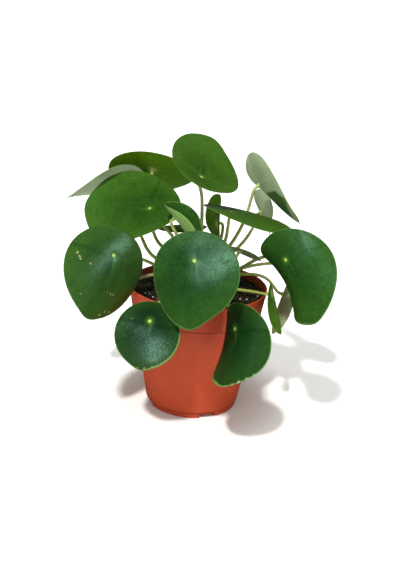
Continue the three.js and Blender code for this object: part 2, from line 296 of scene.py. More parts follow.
def noise(bench, vector, scale, detail=2.0, roughness=0.5, offset=None):
    """Soft noise from 0 to 1. The greater the scale, the smaller its blobs."""
    if offset is not None:
        vector = bench.move("ADD", vector, offset)
    sockets = {"Vector": vector, "Scale": scale, "Detail": detail, "Roughness": roughness}
    return bench.node("ShaderNodeTexNoise", {}, sockets)


def bump(bench, height, distance):
    return bench.node("ShaderNodeBump", {}, {"Height": height, "Distance": distance, "Strength": 1.0})


def skin(bench, shader, base, rough, height, relief):
    """Plugs in what varies over a surface: its colour, its roughness and its bumps."""
    plug(bench, shader, "Base Color", base)
    plug(bench, shader, "Roughness", rough)
    plug(bench, shader, "Normal", bump(bench, height, relief))


def on_object(bench):
    """The place on the piece, in metres from its origin."""
    return bench.node("ShaderNodeTexCoord", {}, (), "Object")


# %% The leaf's own pattern
SEED_STEP = 0.13
# A pair is a soft edge: the two distances between which a mask goes from none to whole or back.
SPOT_EDGE, HALO_EDGE = (0.3 * MM, 2.2 * MM), (1.0 * MM, 7.0 * MM)
VEIN_EDGE, FINE_EDGE = (0.1 * MM, 0.9 * MM), (0.1 * MM, 0.8 * MM)
GROOVE_CORE, GROOVE_WIDTH, GROOVE_SPREAD = 0.2 * MM, 1.1 * MM, 0.03
GROOVE_START, GROOVE_FADE = 1.2 * MM, (9.0 * MM, 30.0 * MM)
FOLD_NEAR, FOLD_FAR, FOLD_FADE = (0.5 * MM, 1.4 * MM), (1.4 * MM, 4.2 * MM), (5.0 * MM, 16.0 * MM)
VALLEY_REACH, VALLEY_SLOPE, VALLEY_FADE = 6.0 * MM, 1300, (8.0 * MM, 28.0 * MM)
MARGIN_EDGE = (0.973, 0.988)
CREASES_ROUND, CREASES_OUT = 17, 580


def leaf_pattern(bench):
    """Masks that follow the blade, by name, with the leaf's own tone and the width of its lip."""
    flat, mood, wax = (bench.node("ShaderNodeAttribute", {"attribute_name": name}, (), "Vector")
                       for name in ("blade", "mood", "wax"))
    x, y, share = bench.parts(flat)
    tone, seed, lip = bench.parts(mood)
    wax_x, wax_y, wax_reach = bench.parts(wax)
    reach = (x * x + y * y).sqrt()
    place = bench.vector(x, y, seed * SEED_STEP)
    wobble = noise(bench, place, 55.0) - 0.5
    turn = y.arctan2(x) + wobble * 0.35
    # Eight main veins: each lies where the sine of four times the turn is zero.
    off_vein = (turn * 4).sin().absolute() * reach * 0.25
    vein = (1 - off_vein.smooth(*VEIN_EDGE)) * (1 - share.smooth(0.5, 0.9)) * reach.smooth(2 * MM, 6 * MM)
    # Sixteen fine veins take over where the main ones fade.
    off_fine = (turn * 8 + 1.2).sin().absolute() * reach * 0.125
    fine = (1 - off_fine.smooth(*FINE_EDGE)) * share.smooth(0.35, 0.6) * (1 - share.smooth(0.8, 1.0))
    # The groove is a narrow fold that fades towards the tip. Its mask presses it into the bump and darkens
    # it with painted shade.
    off_groove = (y + wobble * 0.004 * x.smooth(0.0, 20 * MM)).absolute()
    groove = 1 - off_groove.smooth(GROOVE_CORE, GROOVE_WIDTH + x * GROOVE_SPREAD)
    groove = groove * (x > GROOVE_START) * (1 - x.smooth(*GROOVE_FADE))
    # Close to the spot, a painted highlight pales one side of the groove, where light catches the fold.
    fold_highlight = off_groove.smooth(*FOLD_NEAR) * (1 - off_groove.smooth(*FOLD_FAR)) * (y > 0)
    fold_highlight = fold_highlight * x.smooth(0.0, 3 * MM) * (1 - x.smooth(*FOLD_FADE))
    # The blade rises to both sides of the groove like a shallow valley.
    valley = off_groove.minimum(VALLEY_REACH) * VALLEY_SLOPE
    valley = valley * x.smooth(0.0, 5 * MM) * (1 - x.smooth(*VALLEY_FADE))
    # The lip widens the margin on one side: left of the tip where it is positive, right where negative.
    wide = lip.absolute() * (y * lip.sign()).smooth(0.0, 10 * MM)
    margin = (share + wobble * 0.02).smooth(MARGIN_EDGE[0] - wide, MARGIN_EDGE[1] - wide)
    # The wax is whole round one place of the blade, and wears thin away from it.
    from_wax = ((x - wax_x) ** 2 + (y - wax_y) ** 2).sqrt() + wobble * 0.012
    whole = 1 - from_wax.smooth(wax_reach * 0.3, wax_reach)
    # Fine wrinkles: short creases that lie more or less across the rays from the spot.
    out_x, out_y = (part / (reach + 4 * MM) * CREASES_ROUND for part in (x, y))
    creased = bench.vector(out_x, out_y, reach * CREASES_OUT + wobble * 9)
    wrinkle = noise(bench, creased, 1.0, 3.0, 0.65) - 0.5
    # Streaks fan out from the spot: the same noise all along each ray.
    ray = bench.vector(x / (reach + 1 * MM), y / (reach + 1 * MM), reach * 14 + seed)
    streak = noise(bench, ray, 5.5, 3.0, 0.6) - 0.5
    pebble = bench.node("ShaderNodeTexVoronoi", {"feature": "SMOOTH_F1"},
                        {"Vector": place, "Scale": 640.0, "Smoothness": 0.6}, "Distance")
    spot = 1 - (reach + wobble * 0.0008).smooth(*SPOT_EDGE)
    halo = 1 - reach.smooth(*HALO_EDGE)
    return SimpleNamespace(
        flat=place, x=x, y=y, share=share, tone=tone, lip=lip, vein=vein, fine=fine, groove=groove,
        fold_highlight=fold_highlight, valley=valley, margin=margin, whole=whole, wrinkle=wrinkle, streak=streak,
        pebble=pebble, spot=spot, halo=halo)


def clouds_on(bench, leaf):
    return noise(bench, leaf.flat, 42.0, 3.0)


def specks_on(bench, leaf, start, end):
    """Pale dots like pores, strewn over the blade."""
    return noise(bench, leaf.flat, 480.0, 2.0, offset=(0.2, 0.9, 0.3)).smooth(start, end)


def pits_near(bench, leaf, marks, scale):
    """Small ragged dots that gather round the marks: (x, y, reach) in millimetres on the blade."""
    near = None
    here = bench.vector(leaf.x, leaf.y, 0.0)
    for mark_x, mark_y, size in marks:
        away = bench.move("DISTANCE", here, (mark_x * MM, mark_y * MM, 0.0), out="Value")
        one = 1 - away.smooth(size * MM * 0.2, size * MM)
        near = one if near is None else near.maximum(one)
    return (noise(bench, leaf.flat, scale, 1.0) + near * 0.32).smooth(0.82, 0.86)


# %% The upper face
# The wax is a clear coat over a matt skin. It is thin, so it mirrors less than glass would.
WAX_IOR, WAX_ROUGHNESS = 1.45, 0.27
WORN_WAX = 0.15
SKIN_TINT = (0.5, 1.0, 0.6, 1.0)
UPPER_RELIEF = 0.24 * MM


def upper_face(name, dark, fresh, rough, wax=0.58, specks=0.0, pale_rim=0.1,
               marks=(), mark_colour="d2cd92", pit_scale=2200.0):
    made, bench, shader = new_material(name, Specular_IOR_Level=0.15, Specular_Tint=SKIN_TINT,
                                       Coat_IOR=WAX_IOR, Coat_Roughness=WAX_ROUGHNESS)
    leaf = leaf_pattern(bench)
    clouds = clouds_on(bench, leaf)
    patches = noise(bench, leaf.flat, 170.0, 2.0, offset=(0.4, 0.1, 0.7))
    shade = leaf.tone + (clouds - 0.5) * 0.6 + (patches - 0.5) * 0.4 + leaf.streak * 0.3 + leaf.wrinkle * 0.9
    green = layered(
        bench, blend(bench, shade, dark, fresh),
        (leaf.share.smooth(0.4, 1.0) * pale_rim, "5f8c34"),
        (leaf.vein * 0.04 + leaf.fine * 0.02, "5c8238"),
        (leaf.pebble.smooth(0.25, 0.75) * 0.28, dark),
        # Painted highlight on one side of the groove's fold
        (leaf.fold_highlight * 0.3, "4a8438"),
        # Painted shade darkens the groove
        (leaf.groove * 0.4, "0a2404"),
        (leaf.halo ** 2.0 * 0.5, "4f8420"),
        (leaf.spot, "cfe07a"),
        (leaf.margin * (0.15 + leaf.lip.absolute() * 20), "6a8a46"))
    if specks:
        green = blend(bench, specks_on(bench, leaf, 0.735, 0.78) * specks, green, "a9b58a")
    if marks:
        green = blend(bench, pits_near(bench, leaf, marks, pit_scale) * 0.85, green, mark_colour)
    uneven = (clouds - 0.5) * 0.16 + (leaf.pebble - 0.4) * 0.1
    # The wrinkles and pebbles break the wax up, so that its sheen is grained like the skin.
    grained = 0.8 + (clouds - 0.5) * 0.5 + (patches - 0.5) * 0.5 + leaf.wrinkle * 2.4 - leaf.pebble * 0.25
    cover = leaf.whole * (1 - WORN_WAX) + WORN_WAX
    plug(bench, shader, "Coat Weight", (grained * cover * wax).maximum(0.0).minimum(1.0))
    height = clouds * 2.2 + patches * 0.4 - leaf.pebble * 0.34 + leaf.streak * 0.3
    height = height + leaf.wrinkle * 3.6 + leaf.valley - leaf.groove * 0.5 - leaf.vein * 0.06
    skin(bench, shader, green, rough + uneven + leaf.spot * 0.2, height, UPPER_RELIEF)
    return made


# Marks on three of the leaves: x and y on the blade and how far each reaches, in millimetres
OLD_SCARS = [(8.8, -29.7, 2.4), (11.4, -27.4, 2.2), (13.1, -25.8, 2.0), (14.1, -17.4, 2.1),
             (39, -17.4, 1.6), (28.6, 6.1, 1.9), (29.2, 10.3, 2.1), (28.6, 13.6, 1.8),
             (48, 10.2, 2.4), (43.8, 14.2, 2.2), (46.7, 19.3, 2.2), (42.4, 20.2, 2.0)]
FRAYED_TIP = [(48.5, -8, 3.5), (49, -3, 3.5), (48.5, 2, 3.5), (46.5, 7, 3), (43.5, 11, 3),
              (41, 16, 2.6), (38, 20.5, 2.4)]
BROWN_TIP = [(38, 3, 3), (38.5, -3, 3), (35.5, 9, 2.6), (0.8, -14.6, 1.6)]

upper_deep = upper_face("leaf_upper_deep", "0b2d05", "2e5b18", 0.45)
upper_fresh = upper_face("leaf_upper_fresh", "19400a", "4a7010", 0.65, wax=0.2, specks=0.6, pale_rim=0.2)
upper_scarred = upper_face("leaf_upper_scarred", "0f3208", "395c1e", 0.45, wax=0.65, pale_rim=0.12,
                           marks=OLD_SCARS)
upper_frayed = upper_face("leaf_upper_frayed", "082604", "15400b", 0.5, wax=0.25, marks=FRAYED_TIP,
                          mark_colour="b9bb98", pit_scale=2600.0)
upper_browned = upper_face("leaf_upper_browned", "071f04", "1c4814", 0.45, wax=0.68, marks=BROWN_TIP,
                           mark_colour="9a8a4a")
upper_faces = (upper_deep, upper_fresh, upper_scarred, upper_frayed, upper_browned)
print("upper faces:", [face.name for face in upper_faces])


# %% The underside
DOWN_TINT = (0.8, 1.0, 0.7, 1.0)
UNDER_RELIEF = 0.35 * MM
# Beyond a line that starts to the left of the spot and slopes to the right, the underside is painted in
# the green of the upper face, as where a blade turns over; the sheet itself is not turned.
ROLL_START, ROLL_SLOPE, ROLL_LEAST = 11.2 * MM, 0.9, -18.5 * MM


def turned_over(leaf, clouds):
    """The part of the underside painted in the upper face's green, as if the blade turned over there."""
    line = (ROLL_START - leaf.x * ROLL_SLOPE).maximum(ROLL_LEAST)
    beyond = (leaf.y - line + (clouds - 0.5) * 0.004).smooth(-1 * MM, 2 * MM)
    return beyond * leaf.x.smooth(5 * MM, 12 * MM) * (1 - leaf.x.smooth(44 * MM, 50 * MM))


def under_face(name, dark, pale, vein_colour, rough, specks=0.0, shine=0.2, veins=0.28, rolled=0.0):
    made, bench, shader = new_material(name, Specular_IOR_Level=shine, Specular_Tint=DOWN_TINT)
    leaf = leaf_pattern(bench)
    clouds = clouds_on(bench, leaf)
    grain = noise(bench, leaf.flat, 950.0, 2.0)
    shade = leaf.tone + (clouds - 0.5) * 0.6 + (grain - 0.5) * 0.7 + leaf.streak * 0.4
    green = layered(
        bench, blend(bench, shade, dark, pale),
        (leaf.vein * veins + leaf.fine * veins * 0.4, vein_colour),
        (leaf.pebble.smooth(0.2, 0.7) * 0.2, dark))
    if specks:
        green = blend(bench, specks_on(bench, leaf, 0.69, 0.74) * specks, green, "c3c9a0")
    green = layered(bench, green, (leaf.halo ** 1.5 * 0.7, "a9bd5c"), (leaf.margin * 0.6, "8a9a52"))
    if rolled:
        turned_green = blend(bench, grain, "26500f", "4c7a24")
        green = blend(bench, turned_over(leaf, clouds) * rolled, green, turned_green)
    height = leaf.vein * 0.8 + leaf.fine * 0.4 + clouds * 1.2 - leaf.pebble * 0.25 + grain * 0.15
    skin(bench, shader, green, rough + (clouds - 0.5) * 0.15, height, UNDER_RELIEF)
    return made


PALE_GREENS = ("5a744c", "b6caa0", "c3d0b0")
under_pale = under_face("leaf_underside_pale", *PALE_GREENS, 0.55)
under_rolled = under_face("leaf_underside_rolled", *PALE_GREENS, 0.55, rolled=0.95)
# Brighter yellow-greens for leaves that sunlight shines through: painted light.
under_painted_backlight = under_face("leaf_underside_painted_backlight", "346004", "6a900a", "8fae3c", 0.7,
                          specks=0.8, shine=0.06, veins=0.12)
# Darker greens for a leaf deep inside the plant: painted shade.
under_painted_shade = under_face("leaf_underside_painted_shade", "24480c", "44701c", "507a2c", 0.7, shine=0.06)
under_young = under_face("leaf_underside_young", "4e7a30", "88ab62", "a5c184", 0.5)
under_faces = (under_pale, under_rolled, under_painted_backlight, under_painted_shade, under_young)
print("undersides:", [face.name for face in under_faces])

# %% [markdown]
# ## The leaf blades
#
# A blade is a sheet under a millimetre thick. Its outline is an oval, measured from the spot, with a
# hint of a point at the tip. The flat sheet is bent round an axis through the spot, with a curvature on
# either side of its own, and then along that axis. So a Geometry Nodes tree can make all of them from
# a polar grid: share runs to the margin and turn runs round. Two copies are pushed apart along the
# normal and meet at the margin, which gives the soft rounded edge of a fleshy leaf.

# %% Sizes of a blade, and the geometry tree's inputs
RINGS, SECTORS = 34, 92
CROWDING = 0.6
BLADE_THICKNESS = 0.9 * MM
ATTACH_SHARE = 0.31
TIP_POINT, TIP_SPREAD = 0.05, 0.22
STRAIGHTEST = 0.2
WAVE = 0.45 * MM
SPOT_DEPTH, SPOT_WIDTH = 0.5 * MM, 3.2 * MM

blade_bench, blade_in = geometry_bench("round_leaf_blade", {
    "Length": float, "Width": float, "Seat": float, "Fold": float, "Left": float, "Right": float,
    "Along": float, "Flat": float, "Flare": float, "Waist": float, "Tone": float, "Seed": float,
    "Lip": float, "Wax x": float, "Wax y": float, "Wax reach": float,
    "Upper finish": bpy.types.Material, "Under finish": bpy.types.Material})
print("blade inputs:", ", ".join(blade_in))


# %% The flat sheet
def flat_sheet(bench, sizes):
    """A polar grid in the leaf's outline, which keeps its flat coordinates as the attribute blade."""
    grid = bench.node("GeometryNodeMeshGrid", {}, {
        "Size X": 1.0, "Size Y": 1.0, "Vertices X": RINGS + 1, "Vertices Y": SECTORS + 1}, "Mesh")
    across, around, _ = bench.parts(bench.node("GeometryNodeInputPosition"))
    even = across + 0.5
    # The rings lie closer at the spot and at the margin, where the form changes fastest.
    share = even - (even * math.tau).sin() * (CROWDING / math.tau)
    turn = (around + 0.5) * math.tau
    cos, sin = turn.cos(), turn.sin()
    half_length, half_width = sizes["Length"] * 0.5, sizes["Width"] * 0.5
    centre = half_length - sizes["Seat"] * sizes["Length"]
    # A ray of length r from the spot meets the ellipse where square * r * r + linear * r + rest is 0.
    square = (cos / half_length) ** 2 + (sin / half_width) ** 2
    linear = cos * centre * -2 / half_length ** 2
    rest = (centre / half_length) ** 2 - 1
    oval = ((linear * linear - square * rest * 4).sqrt() - linear) / (square * 2)
    point = 1 + (-((sin.arctan2(cos) / TIP_SPREAD) ** 2)).exponent() * TIP_POINT
    radius = share * oval * point
    sheet = store(bench, grid, "blade", bench.vector(radius * cos, radius * sin, share))
    # Once stored, the values stay put, while the fields above would be read anew at the moved points.
    flat = bench.move("MULTIPLY", stored(bench, "blade"), (1.0, 1.0, 0.0))
    sheet = bench.node("GeometryNodeSetPosition", {}, {"Geometry": sheet, "Position": flat})
    return bench.node("GeometryNodeMergeByDistance", {}, {"Geometry": sheet, "Distance": 1e-6})


# %% The bent sheet
def not_straight(curvature):
    """Keeps a curvature away from zero, because its radius is one over it."""
    size = curvature.absolute().maximum(STRAIGHTEST)
    return size * (1 - (curvature < 0) * 2)


def bent_sheet(bench, sheet, sizes):
    """Bends the flat sheet across its fold and along it, and adds the dimple and a slight wave."""
    kept = stored(bench, "blade")
    x, y, share = bench.parts(kept)
    fold = sizes["Fold"].radians()
    cos, sin = fold.cos(), fold.sin()
    lengthways = x * cos + y * sin
    sideways = y * cos - x * sin
    is_left = sideways > 0
    across = not_straight(sizes["Left"] * is_left + sizes["Right"] * (1 - is_left))
    along = not_straight(sizes["Along"])
    # A strip beside the fold stays level, and the rest follows a circle.
    strip = sizes["Flat"] + sizes["Flare"] * (lengthways - sizes["Waist"]) ** 2
    level = sideways.absolute().minimum(strip)
    bent = sideways.absolute() - level
    new_side = sideways.sign() * (level + (across * bent).sin() / across)
    drop = ((across * bent).cos() - 1) / across
    reach = 1 / along + drop
    new_length = reach * (along * lengthways).sin()
    rise = reach * (along * lengthways).cos() - 1 / along
    dimple = (-((x * x + y * y) / SPOT_WIDTH ** 2)).exponent() * SPOT_DEPTH
    plane = bench.move("MULTIPLY", kept, (1.0, 1.0, 0.0))
    seed = bench.vector(sizes["Seed"], 0.0, 0.0)
    wavy = (noise(bench, plane, 34.0, 1.0, offset=seed) - 0.5) * share * (2 * WAVE)
    bent_place = bench.vector(new_length * cos - new_side * sin, new_length * sin + new_side * cos,
                              rise - dimple + wavy)
    bent_one = bench.node("GeometryNodeSetPosition", {}, {"Geometry": sheet, "Position": bent_place})
    return bent_one, share


# %% Two faces that meet at the margin
def two_faces(bench, sheet, share):
    normal = bench.node("GeometryNodeInputNormal")
    round_edge = (1 - share ** 14).maximum(0.0).sqrt()
    half = round_edge * (1 - share * share * 0.3) * (BLADE_THICKNESS / 2)
    sides = []
    for side in (1, -1):
        push = bench.move("SCALE", normal, half * side)
        face = bench.node("GeometryNodeSetPosition", {}, {"Geometry": sheet, "Offset": push})
        sides.append(store(bench, face, "under", side < 0, "BOOLEAN", "FACE"))
    lower = bench.node("GeometryNodeFlipFaces", {}, {"Mesh": sides[1]})
    both = joined(bench, sides[0], lower)
    return bench.node("GeometryNodeMergeByDistance", {}, {"Geometry": both, "Distance": 5e-6})


sheet, share_wire = bent_sheet(blade_bench, flat_sheet(blade_bench, blade_in), blade_in)
blade = two_faces(blade_bench, sheet, share_wire)
mood = blade_bench.vector(blade_in["Tone"], blade_in["Seed"], blade_in["Lip"])
wax = blade_bench.vector(blade_in["Wax x"], blade_in["Wax y"], blade_in["Wax reach"])
blade = store(blade_bench, store(blade_bench, blade, "mood", mood), "wax", wax)
blade = blade_bench.node("GeometryNodeSetShadeSmooth", {}, {"Geometry": blade})
blade = blade_bench.node("GeometryNodeRealizeInstances", {}, {"Geometry": blade})
blade = blade_bench.node("GeometryNodeSetMaterial", {}, {
    "Geometry": blade, "Material": blade_in["Upper finish"]})
blade = blade_bench.node("GeometryNodeSetMaterial", {}, {
    "Geometry": blade, "Selection": stored(blade_bench, "under", "BOOLEAN"),
    "Material": blade_in["Under finish"]})
blade_bench.node("NodeGroupOutput", {}, {"Geometry": blade})
print("blade tree:", len(blade_bench.tree.nodes), "nodes")

# %% [markdown]
# ## Where each leaf stands
#
# Each row is one leaf of the imported model, in millimetres and degrees: the spot where the petiole meets
# the blade, its length and width, the compass turn of its tip, how far the tip droops, its roll, and
# the turn of its fold. The last three say how it is bent, to the left of the fold, to the right and
# along it, as one over the radius in metres. The finish of its two faces is given for each leaf: older
# leaves are deep green, those near the top are fresher, and where light comes through a leaf, a
# brighter underside finish paints that light in, while a leaf deep in the plant gets a darker finish
# of painted shade.

# %% The leaves
COLUMNS = ("length", "width", "heading", "droop", "roll", "fold", "left", "right", "along")
LEAVES = {
    "top": ((-3, -10, 206), 74, 65, 85, -14, 26, 38, -10, -2, -12),
    "back_left_high": ((-48, 66, 193), 87, 84, 92, 43, 6, 34, -3, -10, -3),
    "back_left": ((-78, 55, 184), 74, 75, 164, 31, 24, 66, -10, -6, 9),
    "left_upper": ((-45, 4, 173), 84, 82, 165, 0, -27, 38, -5, -5, 9),
    "left_lower": ((-68, -56, 149), 76, 77, 254, 52, -52, 60, 2, 3, 17),
    "front": ((-4, -75, 155), 75, 74, 279, 62, 22, 25, -4, 14, -10),
    "front_left_low": ((-36, -78, 104), 55, 54, 253, 52, -2, -4, 8, 4, 14),
    "front_right_low": ((31, -80, 103), 66, 65, 272, 59, 58, 84, -10, -10, 27),
    "right": ((68.2, -49.5, 152.4), 77.2, 76.2, 319, 53, 89, 7, 18, 42, 0),
    "right_high": ((48, 30, 194), 77, 75, -60, 20, -54, 79, 63, -6, -14),
    "right_back": ((55, 79, 156.5), 46.5, 44.5, 101, 191, 112, 140, 14, 21, -13),
    "right_flat": ((23, -11, 179), 74, 71, 3, 10, -8, 30, 0, 7, 1),
    "middle_upright": ((13, 33, 155), 40, 39, 107, -45, -92, 57, 15, 10, -17),
    "middle_folded": ((-22, -20, 173), 48, 46, -8, 48, -5, 0, -56, -48, 4),
    "middle_small": ((32, -22, 149), 28, 27, 2, 21, -23, 18, -3, -5, 4),
    "rim_right": ((62, -22, 113), 44, 40, -10, 76, 0, 0, 8, 12, -4),
    "right_behind": ((77, 20, 97), 51, 45, 32, 111, 28, 91, 0, -5, -25),
    "middle_shaded": ((-16, 30, 150), 50, 44, 100, 6, -4, 0, 4, 4, 6),
    "back_left_low": ((-84, 28, 124), 64, 62, 178, 48, 8, 0, 5, 6, 10),
    "back_right_low": ((88, 36, 124), 58, 56, 12, 20, 4, 0, 6, 6, 8),
    "back_hanging_left": ((-38, 86, 84), 56, 52, 112, 62, 2, 0, 6, 6, 9),
    "back_hanging_right": ((32, 88, 82), 60, 57, 76, 60, -4, 0, 6, 6, 8),
    "back_middle": ((-2, 84, 121), 62, 60, 92, 40, 3, 0, 4, 5, 7),
}
# What only a few leaves have: a spot nearer the margin, or a level strip beside the fold, which may
# also widen away from its waist
EXTRAS = {"right": dict(flare=10.0, waist=10), "right_high": dict(flat=16),
          "right_back": dict(flat=6), "rim_right": dict(seat=0.2)}

# Upper finish, under finish and tone of the leaves that differ from the rest
FINISH = {
    "top": (upper_fresh, under_young, 0.45),
    "back_left_high": (upper_fresh, under_painted_backlight, 0.3),
    "back_left": (upper_deep, under_pale, 0.85),
    "left_upper": (upper_fresh, under_pale, 0.22),
    "left_lower": (upper_scarred, under_pale, 0.5),
    "front": (upper_deep, under_pale, 0.2),
    "front_left_low": (upper_browned, under_pale, 0.1),
    "front_right_low": (upper_frayed, under_young, 0.15),
    "right": (upper_deep, under_pale, 0.45),
    "right_high": (upper_deep, under_rolled, 0.8),
    "right_back": (upper_deep, under_pale, 0.8),
    "right_flat": (upper_fresh, under_young, 0.55),
    "middle_upright": (under_painted_backlight, under_painted_backlight, 0.3),
    "middle_folded": (upper_deep, under_young, 0.7),
    "middle_small": (upper_deep, under_pale, -0.2),
    "rim_right": (under_painted_backlight, under_painted_backlight, 0.1),
    "right_behind": (upper_deep, under_pale, 0.5),
    "middle_shaded": (under_painted_shade, under_painted_shade, 0.7),
}
USUAL_FINISH = (upper_deep, under_pale, 0.4)
# How much wider the pale margin is on a leaf that shows it, as a share of the way in
LIPS = {"front_right_low": -0.03, "front_left_low": 0.032, "middle_folded": 0.03,
        "right_flat": -0.02, "right": -0.015, "front": -0.01}
# The place on the blade where the wax is whole, and how far it reaches, in millimetres
WAX = {"front": (-1, 17, 30), "front_left_low": (23, 7, 26), "front_right_low": (-10, 0, 12),
       "right": (-10, 9, 26), "right_flat": (-14, 0, 12), "middle_small": (0, 0, 1),
       "left_lower": (8, 0, 48), "back_left": (0, 0, 1)}
EVERYWHERE = (0, 0, 1000)
SEED_APART = 1.7

for number, (name, (spot, *sizes)) in enumerate(LEAVES.items()):
    leaf = dict(zip(COLUMNS, map(float, sizes)), **EXTRAS.get(name, {}))
    upper, under, tone = FINISH.get(name, USUAL_FINISH)
    wax_x, wax_y, wax_reach = WAX.get(name, EVERYWHERE)
    made = grow(f"blade_{name}", blade_bench, {
        "Length": leaf["length"] * MM, "Width": leaf["width"] * MM,
        "Seat": leaf.get("seat", ATTACH_SHARE), "Fold": leaf["fold"], "Left": leaf["left"],
        "Right": leaf["right"], "Along": leaf["along"], "Flat": leaf.get("flat", 0) * MM,
        "Flare": leaf.get("flare", 0.0), "Waist": leaf.get("waist", 0) * MM, "Tone": tone,
        "Seed": number * SEED_APART, "Lip": LIPS.get(name, 0.0), "Wax x": wax_x * MM,
        "Wax y": wax_y * MM, "Wax reach": wax_reach * MM, "Upper finish": upper, "Under finish": under})
    turn = Euler([math.radians(leaf[key]) for key in ("roll", "droop", "heading")], "XYZ").to_matrix()
    made.data.transform(Matrix.Translation(Vector(spot) * MM) @ turn.to_4x4())
    settle(made, [f"leaf_{name}"])

# %% [markdown]
# ## The petioles
#
# A petiole is a smooth green rod that leaves the stem, bends and swells a little where it meets the
# blade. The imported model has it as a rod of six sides. The middles of its rings give its path, and a
# geometry tree sweeps a rounder profile along a smooth curve through them, with a swelling at both ends.

# %% Petiole material
def petiole_finish(name, low, high):
    made, bench, shader = new_material(name, Specular_IOR_Level=0.45)
    along = bench.node("ShaderNodeAttribute", {"attribute_name": "along"}, (), "Fac")
    place = on_object(bench)
    streak = noise(bench, place, 260.0, 3.0)
    fleck = noise(bench, place, 1500.0, 2.0).smooth(0.6, 0.75)
    green = blend(bench, along + (streak - 0.5) * 0.6, low, high)
    green = blend(bench, fleck * 0.3, green, "6f6a3a")
    rough = 0.42 + (streak - 0.5) * 0.2
    skin(bench, shader, green, rough, streak * 0.6 + fleck * 0.4, 0.2 * MM)
    return made


petiole_olive = petiole_finish("petiole_olive", "87923a", "a3b057")
petiole_bright = petiole_finish("petiole_bright", "8c9440", "a9b86a")
petiole_brown = petiole_finish("petiole_brown", "878556", "a5a878")
PETIOLE_FINISH = {"right_high": petiole_bright, "right_back": petiole_bright,
                  "top": petiole_brown, "left_lower": petiole_brown}
print("petioles:", petiole_olive.name, petiole_bright.name, petiole_brown.name)

# %% The petiole's geometry tree
PATH_STEPS, PROFILE_SIDES = 60, 14
FLARE = 0.55 * MM
# The shares of the way at which the swelling of the base ends and that of the tip begins
BASE_SWELL, TIP_SWELL = 0.07, 0.94

petiole_bench, petiole_in = geometry_bench("petiole", {
    "Base radius": float, "Tip radius": float, "Flare": float, "Finish": bpy.types.Material})
line = petiole_bench.node("GeometryNodeMeshToCurve", {}, {"Mesh": petiole_in["Geometry"]})
line = petiole_bench.node("GeometryNodeCurveSplineType", {"spline_type": "CATMULL_ROM"}, {"Curve": line})
line = petiole_bench.node("GeometryNodeResampleCurve", {}, {"Curve": line, "Count": PATH_STEPS})
way = petiole_bench.node("GeometryNodeSplineParameter", {}, (), "Factor")
line = store(petiole_bench, line, "along", way, "FLOAT")
swell = (1 - way.smooth(0.0, BASE_SWELL)) + way.smooth(TIP_SWELL, 1.0)
taper = petiole_in["Base radius"] * (1 - way) + petiole_in["Tip radius"] * way
rod_radius = taper + swell * petiole_in["Flare"]
line = petiole_bench.node("GeometryNodeSetCurveRadius", {}, {"Curve": line, "Radius": rod_radius})
ring = petiole_bench.node("GeometryNodeCurvePrimitiveCircle", {}, {
    "Resolution": PROFILE_SIDES, "Radius": 1.0})
rod = petiole_bench.node("GeometryNodeCurveToMesh", {}, {
    "Curve": line, "Profile Curve": ring, "Scale": rod_radius, "Fill Caps": True})
rod = petiole_bench.node("GeometryNodeSetShadeSmooth", {}, {"Geometry": rod})
close_tree(petiole_bench, rod, petiole_in["Finish"])
print("petiole tree:", len(petiole_bench.tree.nodes), "nodes")


# %% The path of a packed petiole
STEM_PLACE = Vector((4, 1)) * MM
# On a packed rod each corner of an end ring has five edges, and a cap's middle meets only such corners.
EDGES_AT_END = 5


def neighbours(vertex):
    return {edge.other_vert(vertex) for edge in vertex.link_edges}


def ring_middles(node_name):
    """The middles of a rod's rings, from its end on the stem to its end on the leaf."""
    rod = bmesh.new()
    rod.from_mesh(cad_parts[node_name].data)
    bmesh.ops.remove_doubles(rod, verts=rod.verts, dist=1e-6)
    end_rings = {v for v in rod.verts if len(v.link_edges) == EDGES_AT_END}
    caps = [v for v in rod.verts if v not in end_rings and neighbours(v) <= end_rings]
    start = min(caps, key=lambda v: (v.co.xy - STEM_PLACE).length)
    seen, level, middles = {start}, {start}, []
    while True:
        level = set().union(*(neighbours(v) for v in level)) - seen
        if len(level) < 2:
            break
        seen |= level
        middles.append(sum((v.co for v in level), Vector()) / len(level))
    rod.free()
    return middles


# %% Grow the petioles
BASE_RADIUS, TIP_RADIUS = 1.65 * MM, 1.25 * MM
INTO_STEM = 0.9 * MM

for name in LEAVES:
    middles = ring_middles(f"petiole_{name}")
    middles.insert(0, middles[0] - (middles[1] - middles[0]).normalized() * INTO_STEM)
    path = bpy.data.meshes.new("path")
    path.from_pydata(middles, [(i, i + 1) for i in range(len(middles) - 1)], [])
    made = grow(f"rod_{name}", petiole_bench, {
        "Base radius": BASE_RADIUS, "Tip radius": TIP_RADIUS, "Flare": FLARE,
        "Finish": PETIOLE_FINISH.get(name, petiole_olive)}, path)
    settle(made, [f"petiole_{name}"])

# %% [markdown]
# ## The pot
#
# The pot is thin moulded plastic: a tapered wall, a collar that stands a little proud, a rolled lip and a
# stepped foot with notches. It is a solid of revolution, so a profile of radii and heights, with its
# corners rounded, is turned about the upright axis. A geometry tree then cuts what repeats: four
# notches in the foot and eight drain holes in the floor.

# %% Pot sizes and material
POT_HEIGHT, RIM_RADIUS, FOOT_RADIUS, WALL = 109.5, 60.0, 40.5, 1.3
COLLAR_HEIGHT, COLLAR_STEP, LIP_HEIGHT = 23.0, 0.9, 1.6
FOOT_HEIGHT, FOOT_STEP, FLOOR = 4.5, 0.7, 1.5
COLLAR_LOW = POT_HEIGHT - COLLAR_HEIGHT
POT_SEGMENTS = 160


